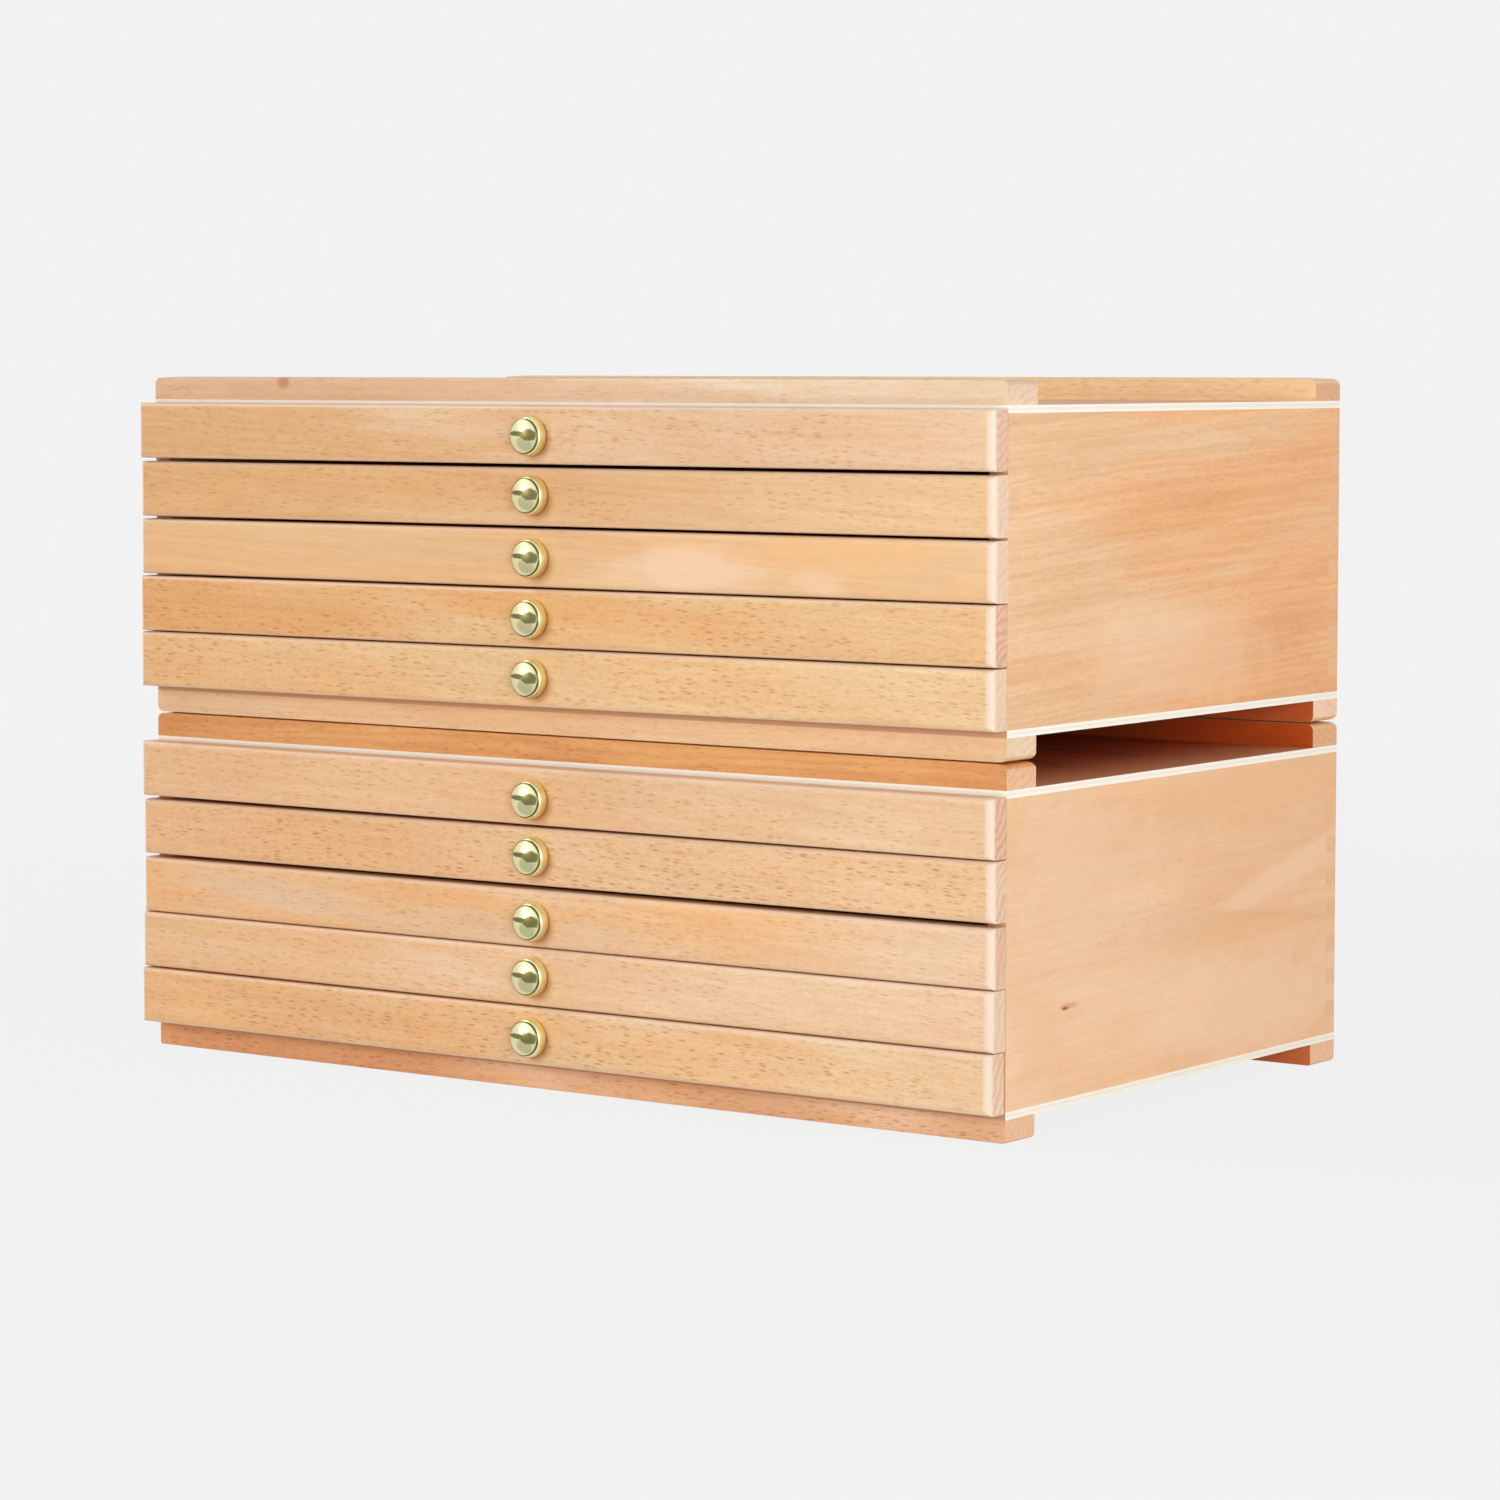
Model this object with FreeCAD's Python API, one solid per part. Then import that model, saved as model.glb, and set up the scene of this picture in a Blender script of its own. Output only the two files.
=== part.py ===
"""Pencil drawer box: two equal beech units of five shallow drawers, one standing on the other.

Millimetres. +Z is up, X runs across the front, and the drawers open towards -Y.
The origin is the centre of the whole box's footprint, knobs included, on the plane that
the lowest feet stand on.
"""
import FreeCAD, Part
import math
import os

V = FreeCAD.Vector

# ---- the case of one unit ----
case_width = 400.0            # outside, across the front
case_depth = 237.7            # outside, from the front plane to the back
panel_thickness = 7.5         # solid beech sides and back
board_thickness = 2.75        # plywood top and bottom boards
finger_count = 17             # segments of the rear corner joints, odd

# ---- the rails on the top board and under the bottom board ----
foot_height = {"lower": 8.4, "upper": 8.8}
top_rail_height = {"lower": 9.4, "upper": 8.9}
rail_depth = 19.0

# How a rail's free face ends: the last stretch before each edge falls away a little, and the
# edge is rounded. For each edge the length of the stretch, its fall and the radius.
stacked_edges = {"front": (4.0, 0.3, 0.4), "back": (8.0, 0.5, 2.5), "ends": (9.0, 0.6, 2.5)}
floor_edges = {"front": (4.0, 0.1, 0.4), "back": (8.0, 0.2, 2.0), "ends": (9.0, 0.15, 1.0)}

# ---- drawer fronts, which cover the case's front edges ----
front_height = 21.6
front_gap = 0.9               # between one front and the next
front_thickness = 8.7
front_overhang = 0.4          # past the case's sides, at each end
front_round = 2.2             # round-over along the four front edges
front_drop = 0.55             # how far the lowest front reaches down over the bottom board
top_reveal = 1.5              # strip of the top board that shows above the first front

# Each drawer as it stands, from the top one down: how far it is left open beyond the shut
# position, how much higher or lower than its nominal place its front was glued on, how much
# higher the front's right end is than its left end, and how much above or below the middle of
# its front its knob was bored.
shut_clearance = 0.1
ajar = {
    "upper": [0.75, 0.0, 0.0, 0.7, 0.7],
    "lower": [0.8, 0.0, 0.0, 0.8, 1.6],
}
front_lift = {
    "upper": [0.2, -0.2, -0.35, -0.15, 0.2],
    "lower": [-0.3, -0.4, -1.05, -0.45, 0.0],
}
front_tilt = {
    "upper": [0.15, 0.25, 0.35, 0.7, 0.6],
    "lower": [-0.4, 0.6, 0.45, 0.4, 0.6],
}
knob_lift = {
    "upper": [-0.45, 0.6, -0.05, 0.0, -0.1],
    "lower": [-1.1, 0.2, -0.95, 0.4, -0.25],
}

# ---- drawer boxes behind the fronts ----
drawer_wall = 7.5             # sides and back
drawer_board = 2.75           # plywood bottom
side_clearance = 0.8          # between a drawer's side and the case's side
height_clearance = 0.7        # above and below a drawer box, in the case's full height
rear_clearance = 4.0          # behind a shut drawer
housing_depth = 3.0           # how far the drawer sides are let into the front
drawer_finger_count = 3       # segments of the joints at a drawer's rear corners, odd

# ---- runners: strips let into the case sides, on which grooves in the drawers slide ----
runner_height = 5.0
runner_reach = 4.0            # how far a strip stands out from the case side
runner_seat = 2.0             # how deep it is let into the case side
runner_setback = 3.0          # from the case's front plane
runner_play = 0.3             # above and below a strip in its groove
groove_end_play = 0.4         # between a strip's edge and the bottom of its groove
runner_lead_in = 1.5          # corner cut off a strip's front end, to guide the drawer in

# ---- brass knobs, turned, each held by a screw whose head is sunk in the front's inside ----
knob_base_radius = 7.3
knob_base_thickness = 1.2
knob_shoulder_radius = 7.2
knob_shoulder_height = 3.0    # the body tapers a little up to here
knob_rim_radius = 6.6         # of the dome, at the end of the sloping shoulder
knob_rim_height = 4.1         # from the front's face to the dome's rim
knob_dome_height = 2.6
knob_shift = -2.5             # along the front from its middle
screw_radius = 1.7
screw_head_radius = 3.5
screw_head_height = 2.0
screw_grip = 4.0              # length of thread inside the knob
screw_hole_play = 0.1         # all round the shank in the front
screw_head_play = 0.1         # all round the head in its counterbore
thread_play = 0.05            # all round the shank in the knob

# ---- what follows from them ----
drawer_count = len(ajar["upper"])
drawer_pitch = front_height + front_gap
fronts_height = (drawer_count - 1) * drawer_pitch + front_height
case_inner_height = fronts_height - front_drop + top_reveal - board_thickness
case_height = case_inner_height + 2 * board_thickness
unit_height = {unit: foot_height[unit] + case_height + top_rail_height[unit] for unit in ajar}
unit_z = {"lower": 0.0, "upper": unit_height["lower"]}
unit_foot_edges = {"lower": floor_edges, "upper": stacked_edges}

knob_height = knob_rim_height + knob_dome_height
widest_ajar = max(ajar["upper"] + ajar["lower"])
standout = shut_clearance + widest_ajar + front_thickness + knob_height
front_y = (standout - case_depth) / 2
back_y = front_y + case_depth

half_width = case_width / 2
inner_half_width = half_width - panel_thickness
box_half_width = inner_half_width - side_clearance
box_depth = case_depth - panel_thickness - rear_clearance
box_height = case_inner_height - (drawer_count - 1) * drawer_pitch - 2 * height_clearance
frame_height = box_height - drawer_board
groove_depth = runner_reach - side_clearance + groove_end_play
groove_height = runner_height + 2 * runner_play

SIDES = {"left": -1, "right": 1}


def block(x, y, z):
    """A board between two values on each axis, in either order."""
    low = V(min(x), min(y), min(z))
    high = V(max(x), max(y), max(z))
    size = high - low
    return Part.makeBox(size.x, size.y, size.z, low)


def edges_at(shape, **place):
    """The straight edges that lie at the given coordinates, such as x=5 and z=0."""
    found = []
    for edge in shape.Edges:
        ends = [vertex.Point for vertex in edge.Vertexes]
        off = [abs(getattr(point, axis) - at) for point in ends for axis, at in place.items()]
        if max(off) < 1e-6:
            found.append(edge)
    return found


def finger_levels(low, high, count):
    """The heights between which each segment of a finger joint lies, lowest first."""
    step = (high - low) / count
    return [(low + i * step, low + (i + 1) * step) for i in range(count)]


def cut_fingers(board, x, y, levels, first):
    """Takes every second segment off a board's end, starting with the given one."""
    for low, high in levels[first::2]:
        board = board.cut(block(x, y, (low, high)))
    return board


def prism(outline, way):
    """A straight body: a closed outline drawn out along a vector."""
    return Part.Face(Part.makePolygon(outline + outline[:1])).extrude(way)


def rail(y, low_z, height, free_face_up, edges):
    """A rail across the box, whose free face falls away a little towards all four edges.

    It is what two profiles have in common: the planed one along the rail, and the one across
    it that shapes the ends.
    """
    up = 1 if free_face_up else -1
    fixed_z = low_z if free_face_up else low_z + height
    free_z = fixed_z + up * height
    front_run, front_fall, front_radius = edges["front"]
    back_run, back_fall, back_radius = edges["back"]
    end_run, end_fall, end_radius = edges["ends"]
    front_z = free_z - up * front_fall
    back_z = free_z - up * back_fall
    end_z = free_z - up * end_fall
    planed = [(y[0], fixed_z), (y[1], fixed_z), (y[1], back_z), (y[1] - back_run, free_z),
              (y[0] + front_run, free_z), (y[0], front_z)]
    planed = prism([V(-half_width, *point) for point in planed], V(case_width, 0, 0))
    planed = planed.makeFillet(front_radius, edges_at(planed, y=y[0], z=front_z))
    planed = planed.makeFillet(back_radius, edges_at(planed, y=y[1], z=back_z))
    ended = [(half_width, fixed_z), (half_width, end_z), (half_width - end_run, free_z)]
    ended += [(-across, z) for across, z in reversed(ended)]
    ended = prism([V(across, y[0], z) for across, z in ended], V(0, y[1] - y[0], 0))
    for x in (-half_width, half_width):
        ended = ended.makeFillet(end_radius, edges_at(ended, x=x, z=end_z))
    return planed.common(ended)


def rails(unit):
    """Front and rear rails above and below the case, standing flush with its faces."""
    rows = {
        "front": (front_y, front_y + rail_depth),
        "rear": (back_y - rail_depth, back_y),
    }
    foot_z = unit_z[unit]
    top_z = foot_z + foot_height[unit] + case_height
    made = {}
    for row, y in rows.items():
        made["foot_rail_" + row] = rail(
            y, foot_z, foot_height[unit], False, unit_foot_edges[unit])
        made["top_rail_" + row] = rail(y, top_z, top_rail_height[unit], True, stacked_edges)
    return made


def box_floor(floor_z, number):
    """The underside of one drawer box. Number 1 is the top drawer."""
    return floor_z + (drawer_count - number) * drawer_pitch + height_clearance


def groove_middle(floor_z, number):
    """The height of a drawer's groove and of the runner in it."""
    return box_floor(floor_z, number) + drawer_board + frame_height / 2


def runner_z(floor_z, number):
    middle = groove_middle(floor_z, number)
    return (middle - runner_height / 2, middle + runner_height / 2)


def case_side(hand, floor_z):
    """One side, grooved for its runners and cut into fingers at the back."""
    z = (floor_z, floor_z + case_inner_height)
    x = (hand * inner_half_width, hand * half_width)
    board = block(x, (front_y, back_y), z)
    levels = finger_levels(z[0], z[1], finger_count)
    board = cut_fingers(board, x, (back_y - panel_thickness, back_y), levels, 1)
    seat_x = (hand * inner_half_width, hand * (inner_half_width + runner_seat))
    for number in range(1, drawer_count + 1):
        seat = block(seat_x, runner_y(), runner_z(floor_z, number))
        board = board.cut(seat)
    return board


def case_back(floor_z):
    """The back, whose fingers fill the gaps between those of the two sides."""
    z = (floor_z, floor_z + case_inner_height)
    y = (back_y - panel_thickness, back_y)
    board = block((-half_width, half_width), y, z)
    levels = finger_levels(z[0], z[1], finger_count)
    for hand in SIDES.values():
        x = (hand * inner_half_width, hand * half_width)
        board = cut_fingers(board, x, y, levels, 0)
    return board


def runner_y():
    return (front_y + runner_setback, back_y - panel_thickness)


def runners(floor_z):
    """A strip on each side for each drawer, its front end cut off at an angle."""
    strips = []
    for number in range(1, drawer_count + 1):
        for hand in SIDES.values():
            nose_x = hand * (inner_half_width - runner_reach)
            x = (hand * (inner_half_width + runner_seat), nose_x)
            strip = block(x, runner_y(), runner_z(floor_z, number))
            nose = edges_at(strip, x=nose_x, y=runner_y()[0])
            strips.append(strip.makeChamfer(runner_lead_in, nose))
    return strips


def turned(profile, y, z):
    """A body turned about the knob's axis, which points to -Y from the given place.

    The profile is a list of (radius, reach) points. One with four values is an arc: a point
    that it passes through, and its end.
    """
    def at(radius, reach):
        return V(knob_shift + radius, y - reach, z)

    edges = []
    for start, end in zip(profile, profile[1:]):
        if len(end) == 2:
            edges.append(Part.makeLine(at(*start[-2:]), at(*end)))
        else:
            edges.append(Part.Arc(at(*start[-2:]), at(*end[:2]), at(*end[2:])).toShape())
    face = Part.Face(Part.Wire(edges))
    return face.revolve(at(0, 0), V(0, -1, 0), 360)


def knob(y, z):
    """A stout body with a sloping shoulder and a low dome, bored for its screw.

    The dome is a cap of a sphere, and its arc passes through the point half-way up.
    """
    sphere = (knob_rim_radius ** 2 + knob_dome_height ** 2) / (2 * knob_dome_height)
    half_angle = math.asin(knob_rim_radius / sphere) / 2
    dome_middle = (sphere * math.sin(half_angle), knob_height - sphere * (1 - math.cos(half_angle)))
    bore = screw_radius + thread_play
    bore_end = screw_grip + thread_play
    profile = [
        (bore, 0.0),
        (knob_base_radius, 0.0),
        (knob_base_radius, knob_base_thickness),
        (knob_shoulder_radius, knob_shoulder_height),
        (knob_rim_radius, knob_rim_height),
        (*dome_middle, 0.0, knob_height),
        (0.0, bore_end),
        (bore, bore_end),
        (bore, 0.0),
    ]
    return turned(profile, y, z)


def screw(y, z):
    """Its head is flush with the inside of the front, and its shank ends in the knob."""
    head_seat = screw_head_height - front_thickness
    profile = [
        (0.0, -front_thickness),
        (screw_head_radius, -front_thickness),
        (screw_head_radius, head_seat),
        (screw_radius, head_seat),
        (screw_radius, screw_grip),
        (0.0, screw_grip),
        (0.0, -front_thickness),
    ]
    return turned(profile, y, z)


def screw_hole(y, z):
    """The hole in the front: a clearance bore with a counterbore on the inside."""
    bore = screw_radius + screw_hole_play
    counterbore = screw_head_radius + screw_head_play
    head_seat = screw_head_height - front_thickness
    profile = [
        (0.0, -front_thickness),
        (counterbore, -front_thickness),
        (counterbore, head_seat),
        (bore, head_seat),
        (bore, 0.0),
        (0.0, 0.0),
        (0.0, -front_thickness),
    ]
    return turned(profile, y, z)


def drawer_front(y, low_z, tilt, wall_z, knob_z):
    """The front: rounded over, glued on at its tilt, housed for the sides and bored."""
    x = (-half_width - front_overhang, half_width + front_overhang)
    z = (low_z, low_z + front_height)
    face_y = y - front_thickness
    board = block(x, (face_y, y), z)
    rounded = edges_at(board, y=face_y)
    board = board.makeFillet(front_round, rounded)
    middle = FreeCAD.Vector(0, y, low_z + front_height / 2)
    board.rotate(middle, FreeCAD.Vector(0, -1, 0), math.degrees(math.atan(tilt / case_width)))
    for hand in SIDES.values():
        wall_x = (hand * (box_half_width - drawer_wall), hand * box_half_width)
        board = board.cut(block(wall_x, (y - housing_depth, y), wall_z))
    return board.cut(screw_hole(face_y, knob_z))


def drawer_frame(y, wall_z):
    """Two sides, housed in the front, and a back that is finger-jointed between them.

    The runner grooves go through the sides and the ends of the back's fingers alike.
    """
    rear_y = y + box_depth
    joint_y = (rear_y - drawer_wall, rear_y)
    levels = finger_levels(wall_z[0], wall_z[1], drawer_finger_count)
    middle = (wall_z[0] + wall_z[1]) / 2
    groove_z = (middle - groove_height / 2, middle + groove_height / 2)
    back = block((-box_half_width, box_half_width), joint_y, wall_z)
    sides = []
    for hand in SIDES.values():
        wall_x = (hand * (box_half_width - drawer_wall), hand * box_half_width)
        groove_x = (hand * (box_half_width - groove_depth), hand * box_half_width)
        groove = block(groove_x, (y, rear_y), groove_z)
        side = block(wall_x, (y - housing_depth, rear_y), wall_z)
        side = cut_fingers(side, wall_x, joint_y, levels, 1)
        sides.append(side.cut(groove))
        back = cut_fingers(back, wall_x, joint_y, levels, 0)
        back = back.cut(groove)
    return sides + [back]


def drawer(unit, number, floor_z):
    """All the pieces of one drawer."""
    y = front_y - shut_clearance - ajar[unit][number - 1]
    lift = front_lift[unit][number - 1]
    low_z = floor_z - front_drop + (drawer_count - number) * drawer_pitch + lift
    board_z = box_floor(floor_z, number)
    wall_z = (board_z + drawer_board, board_z + box_height)
    knob_z = low_z + front_height / 2 + knob_lift[unit][number - 1]
    face_y = y - front_thickness
    bottom = block(
        (-box_half_width, box_half_width), (y, y + box_depth), (board_z, board_z + drawer_board))
    return {
        "front": [drawer_front(y, low_z, front_tilt[unit][number - 1], wall_z, knob_z)],
        "frame": drawer_frame(y, wall_z),
        "bottom": [bottom],
        "knob": [knob(face_y, knob_z), screw(face_y, knob_z)],
    }


def floor_level(unit):
    """The height of the inside of a unit's bottom board."""
    return unit_z[unit] + foot_height[unit] + board_thickness


def unit_pieces(unit):
    """Every piece of one unit, by node name."""
    floor_z = floor_level(unit)
    ceiling_z = floor_z + case_inner_height
    full_x = (-half_width, half_width)
    full_y = (front_y, back_y)
    made = {
        "bottom_board": [block(full_x, full_y, (floor_z - board_thickness, floor_z))],
        "top_board": [block(full_x, full_y, (ceiling_z, ceiling_z + board_thickness))],
        "back": [case_back(floor_z)],
        "runners": runners(floor_z),
    }
    for side, hand in SIDES.items():
        made["side_" + side] = [case_side(hand, floor_z)]
    for name, solid in rails(unit).items():
        made[name] = [solid]
    for number in range(1, drawer_count + 1):
        for name, solids in drawer(unit, number, floor_z).items():
            made["drawer_%d_%s" % (number, name)] = solids
    return {unit + "_" + name: solids for name, solids in made.items()}


pieces = {}
for unit in unit_z:
    pieces.update(unit_pieces(unit))

os.makedirs("parts", exist_ok=True)
for node, solids in pieces.items():
    shape = solids[0] if len(solids) == 1 else Part.makeCompound(solids)
    shape.exportStep("parts/%s.step" % node)

print("nodes", len(pieces), "solids", sum(len(solids) for solids in pieces.values()))
stack_height = sum(unit_height.values())
print("stack height %.2f, depth with knobs %.2f" % (stack_height, case_depth + standout))
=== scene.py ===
# %% [markdown]
# A stack of two beech drawer boxes, each with five shallow drawers for pencils.
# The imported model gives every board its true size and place. This lesson adds what a
# drawing of boards lacks: wood that has grain, flecks and end grain, pale plywood edges,
# turned brass knobs, and the quiet light of a small studio.

# %% The frame
import bpy
import bmesh
import math
import random
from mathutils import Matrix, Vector


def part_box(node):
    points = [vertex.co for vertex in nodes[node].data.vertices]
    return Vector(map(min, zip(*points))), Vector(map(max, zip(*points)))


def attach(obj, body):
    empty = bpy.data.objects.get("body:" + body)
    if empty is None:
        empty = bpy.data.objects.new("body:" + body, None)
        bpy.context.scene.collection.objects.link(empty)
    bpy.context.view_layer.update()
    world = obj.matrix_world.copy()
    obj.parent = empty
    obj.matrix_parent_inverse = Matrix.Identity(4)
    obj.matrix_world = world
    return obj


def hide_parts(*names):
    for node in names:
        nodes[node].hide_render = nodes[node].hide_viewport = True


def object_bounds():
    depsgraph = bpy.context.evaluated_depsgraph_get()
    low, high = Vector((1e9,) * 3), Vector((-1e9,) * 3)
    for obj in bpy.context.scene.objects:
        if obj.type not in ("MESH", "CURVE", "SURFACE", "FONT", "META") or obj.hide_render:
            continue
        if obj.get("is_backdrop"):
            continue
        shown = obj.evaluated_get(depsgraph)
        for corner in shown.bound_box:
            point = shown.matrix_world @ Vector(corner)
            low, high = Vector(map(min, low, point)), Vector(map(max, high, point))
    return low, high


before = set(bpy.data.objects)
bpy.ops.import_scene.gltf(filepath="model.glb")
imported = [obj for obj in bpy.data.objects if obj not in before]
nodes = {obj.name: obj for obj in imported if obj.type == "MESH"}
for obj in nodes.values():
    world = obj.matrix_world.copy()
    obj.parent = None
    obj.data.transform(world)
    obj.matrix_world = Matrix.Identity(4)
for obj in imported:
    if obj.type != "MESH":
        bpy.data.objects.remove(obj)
cad_low, cad_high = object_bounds()
print("boards and fittings:", len(nodes))

# %% [markdown]
# The camera stands to the right of the stack, a little under two metres away, almost level
# with its top, and looks down by less than four degrees. A long lens keeps the boards
# nearly parallel, and a small shift of the lens sets how high the stack sits in the frame.

# %% The camera
IMAGE = 1500
FOCAL_PIXELS = 4550.39
CENTRE_ROW = 671.94
SENSOR = 36.0
ACROSS, FROM_FRONT, UP = 1.04707, -1.32558, 0.27202
TILT_DOWN, ROLL, HEADING = 3.897, -0.038, 35.824
case_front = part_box("upper_side_right")[0].y

camera_data = bpy.data.cameras.new("camera")
camera_data.sensor_width = SENSOR
camera_data.lens = FOCAL_PIXELS / IMAGE * SENSOR
camera_data.shift_y = (CENTRE_ROW - IMAGE / 2) / IMAGE
camera = bpy.data.objects.new("camera", camera_data)
camera.location = (ACROSS, case_front + FROM_FRONT, UP)
camera.rotation_euler = [math.radians(angle) for angle in (90 - TILT_DOWN, ROLL, HEADING)]
bpy.context.scene.collection.objects.link(camera)
bpy.context.scene.camera = camera
print("lens in mm:", round(camera_data.lens, 1))

# %% [markdown]
# Materials are small networks of nodes. A few helpers keep the cells short. The first two
# make a node, set its options and fill its sockets with numbers or with links. The next
# five use them for sums, vectors, soft steps, products and mixed colours. Then one turns
# the 0 to 255 numbers of a colour chart into the linear ones that a shader wants, and the
# last starts a material.

# %% Helpers for nodes
MM = 0.001


def fill(tree, node, inputs):
    """Links or sets a node's sockets."""
    for key, value in inputs.items():
        if isinstance(value, bpy.types.NodeSocket):
            tree.links.new(value, node.inputs[key])
        else:
            node.inputs[key].default_value = value


def put(tree, kind, inputs=(), **options):
    """A new node; each input is a number, a colour or another node's output."""
    node = tree.nodes.new("ShaderNode" + kind)
    for key, value in options.items():
        setattr(node, key, value)
    fill(tree, node, dict(inputs))
    return node


def calc(tree, operation, *values):
    """A Math node's result."""
    return put(tree, "Math", dict(enumerate(values)), operation=operation).outputs[0]


def vector(tree, operation, *values):
    """A Vector Math node's result."""
    node = put(tree, "VectorMath", dict(enumerate(values)), operation=operation)
    return node.outputs["Value" if operation in ("LENGTH", "DOT_PRODUCT") else "Vector"]


def smooth(tree, value, low, high, start=0.0, end=1.0):
    """A smooth step from start to end as value goes from low to high."""
    sockets = {"Value": value, "From Min": low, "From Max": high, "To Min": start,
               "To Max": end}
    return put(tree, "MapRange", sockets, interpolation_type="SMOOTHSTEP").outputs[0]


def times(tree, *values):
    """The product of two or more numbers."""
    product = values[0]
    for value in values[1:]:
        product = calc(tree, "MULTIPLY", product, value)
    return product


def blend_colour(tree, factor, a, b, way="MIX"):
    """A Mix node for colours."""
    node = put(tree, "Mix", {0: factor, 6: a, 7: b}, data_type="RGBA", blend_type=way)
    return node.outputs[2]


def colour(red, green, blue):
    """A chart colour as the linear numbers of a shader, by the sRGB curve."""
    linear = [((c / 255 + 0.055) / 1.055) ** 2.4 for c in (red, green, blue)]
    return (*linear, 1.0)


def new_material(name):
    """An empty material with its output node."""
    material = bpy.data.materials.new(name)
    material.use_nodes = True
    tree = material.node_tree
    tree.nodes.clear()
    return material, tree, tree.nodes.new("ShaderNodeOutputMaterial").inputs["Surface"]


print("a chart's middle grey as light:", round(colour(128, 128, 128)[0], 3))

# %% [markdown]
# The stack stands on a pale sweep in a white studio. The floor is one large plane. A
# camera that looks at it should see the same quiet near-white everywhere, so most of what
# it sees is the floor's own plain tone, and the rest is real light and so keeps the soft
# shadow under the feet. Farther out the share of real light fades to nothing. The world
# behind it has the same tone for the camera and in polished metal, while its light on the
# wood is set apart and stays gentle.

# %% The stage
BACKDROP = (0.888, 0.888, 0.888, 1)
FLOOR_TONE = (0.86, 0.86, 0.86, 1)
FLOOR_REACH = 30
FLOOR_PLAIN_SHARE = 0.95
FLOOR_FADE = (0.45, 1.6)
WORLD_TONE = (1, 0.99, 0.97, 1)
WORLD_LIGHT = 0.42


def seen_directly(tree):
    """One for rays from the camera, from a mirror or through glass, and zero for light."""
    rays = put(tree, "LightPath").outputs
    seen = calc(tree, "MAXIMUM", rays["Is Camera Ray"], rays["Is Glossy Ray"])
    return calc(tree, "MAXIMUM", seen, rays["Is Transmission Ray"])


floor_mesh = bpy.data.meshes.new("floor")
bm = bmesh.new()
bmesh.ops.create_grid(bm, x_segments=1, y_segments=1, size=FLOOR_REACH)
bm.to_mesh(floor_mesh)
bm.free()
floor = bpy.data.objects.new("floor", floor_mesh)
bpy.context.scene.collection.objects.link(floor)
material, tree, surface = new_material("floor")
lit = put(tree, "BsdfDiffuse", {"Color": FLOOR_TONE}).outputs[0]
plain = put(tree, "Emission", {"Color": BACKDROP}).outputs[0]
away = vector(tree, "LENGTH", put(tree, "TexCoord").outputs["Object"])
share = smooth(tree, away, *FLOOR_FADE, FLOOR_PLAIN_SHARE, 1.0)
share = times(tree, seen_directly(tree), share)
tree.links.new(put(tree, "MixShader", {0: share, 1: lit, 2: plain}).outputs[0], surface)
floor_mesh.materials.append(material)
floor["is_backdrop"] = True

world = bpy.data.worlds.new("studio")
world.use_nodes = True
tree = world.node_tree
tree.nodes.clear()
light = put(tree, "Background", {"Color": WORLD_TONE, "Strength": WORLD_LIGHT}).outputs[0]
back = put(tree, "Background", {"Color": BACKDROP}).outputs[0]
mixed = put(tree, "MixShader", {0: seen_directly(tree), 1: light, 2: back}).outputs[0]
tree.links.new(mixed, put(tree, "OutputWorld").inputs["Surface"])
bpy.context.scene.world = world
bpy.context.scene.view_settings.view_transform = "Standard"
print("backdrop tone:", BACKDROP[0])

# %% [markdown]
# Five soft boxes light the wood. Two stand on the left in front, one high and weak and one
# lower and stronger, and the shadows of the knobs fall to the right. One over the left end
# draws a thin light line along the rounded upper edge of each front, and one near the
# camera does so at their right ends. A large one far off on the right lights the sides.

# %% The lamps
def soft_box(name, place, aim, size, watts):
    """A square area lamp that looks from one place to another."""
    data = bpy.data.lights.new(name, "AREA")
    data.shape = "RECTANGLE"
    data.size, data.size_y, data.energy = size, size, watts
    lamp = bpy.data.objects.new(name, data)
    lamp.location = place
    lamp.rotation_euler = (Vector(aim) - Vector(place)).to_track_quat("-Z", "Y").to_euler()
    bpy.context.scene.collection.objects.link(lamp)


MIDDLE = (0.0, 0.0, 0.13)
FRONT_LEFT_OF_MIDDLE = (-0.05, -0.11, 0.15)
FRONT_RIGHT_CORNER = (0.2, -0.11, 0.15)
soft_box("high_left", (-1.05, -1.75, 1.15), MIDDLE, size=0.6, watts=2.8)
soft_box("front_left", (-0.62, -1.70, 0.62), MIDDLE, size=0.45, watts=6)
soft_box("top_left", (-1.05, -0.30, 1.45), FRONT_LEFT_OF_MIDDLE, size=0.5, watts=5)
soft_box("near_camera", (1.05, -0.95, 0.27), FRONT_RIGHT_CORNER, size=0.45, watts=7)
soft_box("right_back", (2.2, 0.9, 0.9), MIDDLE, size=1.2, watts=12)

# %% [markdown]
# Beech is a close, even wood. Its colour runs from honey to peach in long soft patches.
# Year rings show as faint flames on a wide face and as plain lines on a cut end. Short
# dark flecks, one to three millimetres long, lie along the grain. All of this is solid
# in the tree, so the pattern is made in three dimensions: a board's end then continues
# what its face shows. The pattern runs along X, and each board turns and shifts it. The
# scales below say how often each part repeats in a metre, along the grain and across it.

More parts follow.
